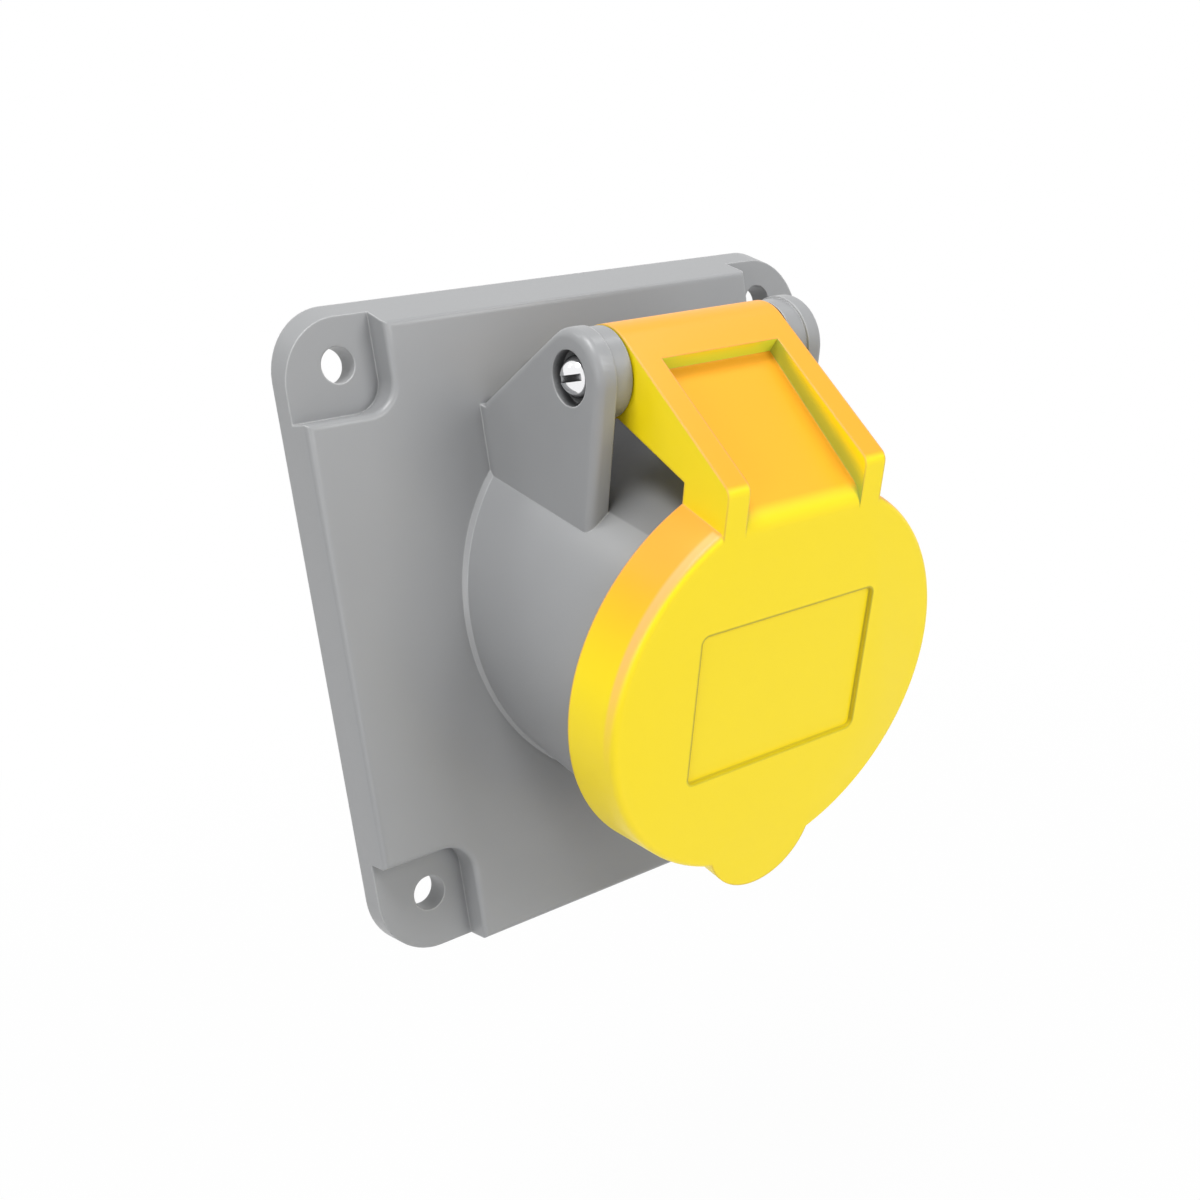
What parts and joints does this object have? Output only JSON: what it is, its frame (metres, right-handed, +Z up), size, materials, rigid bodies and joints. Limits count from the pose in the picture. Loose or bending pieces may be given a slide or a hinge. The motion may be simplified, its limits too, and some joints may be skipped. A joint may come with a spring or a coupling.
{
  "type": "inclined panel socket with a sprung lid",
  "caption": "Square-flanged panel socket: an inclined round barrel for a pin-and-sleeve plug, closed by a sprung hinged lid.",
  "frame": {"origin": "centre of the square flange's back face, in the panel's plane", "axes": "+X to the right seen from the front, +Y into the panel, +Z up; the barrel leans 20 degrees down towards -Y"},
  "size_m": [0.085, 0.0773, 0.085],
  "materials": {
    "grey_plastic": "satin moulded polyamide",
    "yellow_plastic": "satin moulded polyamide",
    "dark_plastic": "matt moulded",
    "rubber": "matt",
    "brass": "turned",
    "steel": "zinc plated",
    "bright_steel": "polished"
  },
  "bodies": {
    "base": {"housing": "grey_plastic", "panel_gasket": "rubber", "insert_base": "dark_plastic", "insert_core": "dark_plastic", "insert_face": "dark_plastic", "insert_seal": "rubber", "contact_l1": "brass", "contact_l2": "brass", "contact_earth": "brass", "squeeze_ring_l1": "steel", "squeeze_ring_l2": "steel", "squeeze_ring_earth": "steel", "terminal_screw_l1": "steel", "terminal_screw_l2": "steel", "terminal_screw_earth": "steel", "contact_retainer": "grey_plastic", "retainer_screw": "steel", "fixing_screw_left": "steel", "fixing_screw_right": "steel", "hinge_pin": "bright_steel", "pin_clip": "steel", "lid_spring": "steel"},
    "lid": {"lid": "yellow_plastic", "lid_seal": "rubber"}
  },
  "joints": [
    {"name": "lid_hinge", "type": "hinge", "parent": "base", "child": "lid", "pos_m": [0, -0.02863, 0.02973], "axis": [-1, 0, 0], "range_deg": [0, 110], "stiffness_Nm_per_rad": 0.03, "springref_deg": -57.3, "deforming": ["lid_spring"]}
  ]
}
